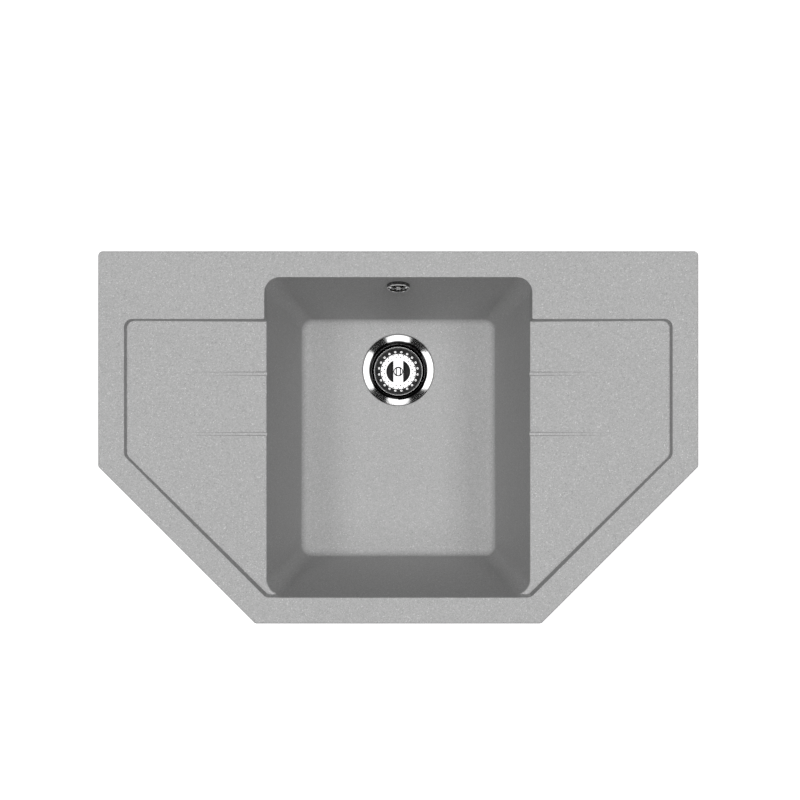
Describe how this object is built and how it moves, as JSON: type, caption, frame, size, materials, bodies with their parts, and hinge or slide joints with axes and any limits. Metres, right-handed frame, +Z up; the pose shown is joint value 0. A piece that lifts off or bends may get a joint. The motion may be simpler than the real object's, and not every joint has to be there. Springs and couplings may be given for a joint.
{
  "type": "kitchen sink",
  "caption": "Corner inset kitchen sink of granite composite: deep square bowl, drainer wings both sides, lift-out basket strainer, overflow with hose, and worktop clamps.",
  "frame": {"origin": "centre of the rim's outline, in the plane where the rim rests on the worktop", "axes": "+X right along the long back edge, +Y towards that back edge and the wall, +Z up"},
  "size_m": [0.78, 0.484, 0.292],
  "materials": {
    "composite": "matt, finely granular",
    "polished_steel": "polished",
    "plain_steel": "satin",
    "zinc_steel": "zinc plated",
    "brass": "turned",
    "dark_rubber": "matt",
    "white_plastic": "moulded",
    "nylon": "moulded"
  },
  "bodies": {
    "sink": {"sink_basin": "composite", "strainer_flange": "polished_steel", "flange_gasket": "dark_rubber", "lower_gasket": "dark_rubber", "waste_body": "white_plastic", "waste_outlet": "white_plastic", "centre_insert": "brass", "centre_screw": "plain_steel", "overflow_rosette": "polished_steel", "overflow_screw": "polished_steel", "overflow_seal": "dark_rubber", "overflow_elbow": "white_plastic", "overflow_insert": "brass", "overflow_hose": "white_plastic", "hose_nut_upper": "white_plastic", "hose_nut_lower": "white_plastic", "hose_seal_upper": "dark_rubber", "hose_seal_lower": "dark_rubber", "clamp_dowels": "nylon"},
    "basket": {"basket_cup": "polished_steel", "basket_screw": "polished_steel", "basket_spacer": "plain_steel", "stopper_washer": "plain_steel", "stopper_rubber": "dark_rubber", "stopper_nut": "plain_steel"},
    "screw_1": {"clamp_screw_1": "zinc_steel"},
    "claw_1": {"clamp_claw_1": "zinc_steel"},
    "screw_2": {"clamp_screw_2": "zinc_steel"},
    "claw_2": {"clamp_claw_2": "zinc_steel"},
    "screw_3": {"clamp_screw_3": "zinc_steel"},
    "claw_3": {"clamp_claw_3": "zinc_steel"},
    "screw_4": {"clamp_screw_4": "zinc_steel"},
    "claw_4": {"clamp_claw_4": "zinc_steel"},
    "screw_5": {"clamp_screw_5": "zinc_steel"},
    "claw_5": {"clamp_claw_5": "zinc_steel"},
    "screw_6": {"clamp_screw_6": "zinc_steel"},
    "claw_6": {"clamp_claw_6": "zinc_steel"},
    "screw_7": {"clamp_screw_7": "zinc_steel"},
    "claw_7": {"clamp_claw_7": "zinc_steel"},
    "screw_8": {"clamp_screw_8": "zinc_steel"},
    "claw_8": {"clamp_claw_8": "zinc_steel"}
  },
  "joints": [
    {"name": "basket_lift", "type": "slide", "parent": "sink", "child": "basket", "axis": [0, 0, 1], "range_m": [0, 0.26]},
    {"name": "clamp_feed_1", "type": "slide", "parent": "sink", "child": "screw_1", "axis": [0, 0, 1], "range_m": [-0.003, 0.009]},
    {"name": "claw_turn_1", "type": "hinge", "parent": "screw_1", "child": "claw_1", "pos_m": [0.29, 0.2245, 0], "axis": [0, 0, 1], "range_deg": [0, 90]},
    {"name": "clamp_feed_2", "type": "slide", "parent": "sink", "child": "screw_2", "axis": [0, 0, 1], "range_m": [-0.003, 0.009]},
    {"name": "claw_turn_2", "type": "hinge", "parent": "screw_2", "child": "claw_2", "pos_m": [-0.29, 0.2245, 0], "axis": [0, 0, 1], "range_deg": [0, 90]},
    {"name": "clamp_feed_3", "type": "slide", "parent": "sink", "child": "screw_3", "axis": [0, 0, 1], "range_m": [-0.003, 0.009]},
    {"name": "claw_turn_3", "type": "hinge", "parent": "screw_3", "child": "claw_3", "pos_m": [-0.3725, 0.11, 0], "axis": [0, 0, 1], "range_deg": [0, 90]},
    {"name": "clamp_feed_4", "type": "slide", "parent": "sink", "child": "screw_4", "axis": [0, 0, 1], "range_m": [-0.003, 0.009]},
    {"name": "claw_turn_4", "type": "hinge", "parent": "screw_4", "child": "claw_4", "pos_m": [-0.27563, -0.12763, 0], "axis": [0, 0, 1], "range_deg": [0, 90]},
    {"name": "clamp_feed_5", "type": "slide", "parent": "sink", "child": "screw_5", "axis": [0, 0, 1], "range_m": [-0.003, 0.009]},
    {"name": "claw_turn_5", "type": "hinge", "parent": "screw_5", "child": "claw_5", "pos_m": [-0.1, -0.2245, 0], "axis": [0, 0, 1], "range_deg": [0, 90]},
    {"name": "clamp_feed_6", "type": "slide", "parent": "sink", "child": "screw_6", "axis": [0, 0, 1], "range_m": [-0.003, 0.009]},
    {"name": "claw_turn_6", "type": "hinge", "parent": "screw_6", "child": "claw_6", "pos_m": [0.1, -0.2245, 0], "axis": [0, 0, 1], "range_deg": [0, 90]},
    {"name": "clamp_feed_7", "type": "slide", "parent": "sink", "child": "screw_7", "axis": [0, 0, 1], "range_m": [-0.003, 0.009]},
    {"name": "claw_turn_7", "type": "hinge", "parent": "screw_7", "child": "claw_7", "pos_m": [0.27563, -0.12763, 0], "axis": [0, 0, 1], "range_deg": [0, 90]},
    {"name": "clamp_feed_8", "type": "slide", "parent": "sink", "child": "screw_8", "axis": [0, 0, 1], "range_m": [-0.003, 0.009]},
    {"name": "claw_turn_8", "type": "hinge", "parent": "screw_8", "child": "claw_8", "pos_m": [0.3725, 0.11, 0], "axis": [0, 0, 1], "range_deg": [0, 90]}
  ]
}
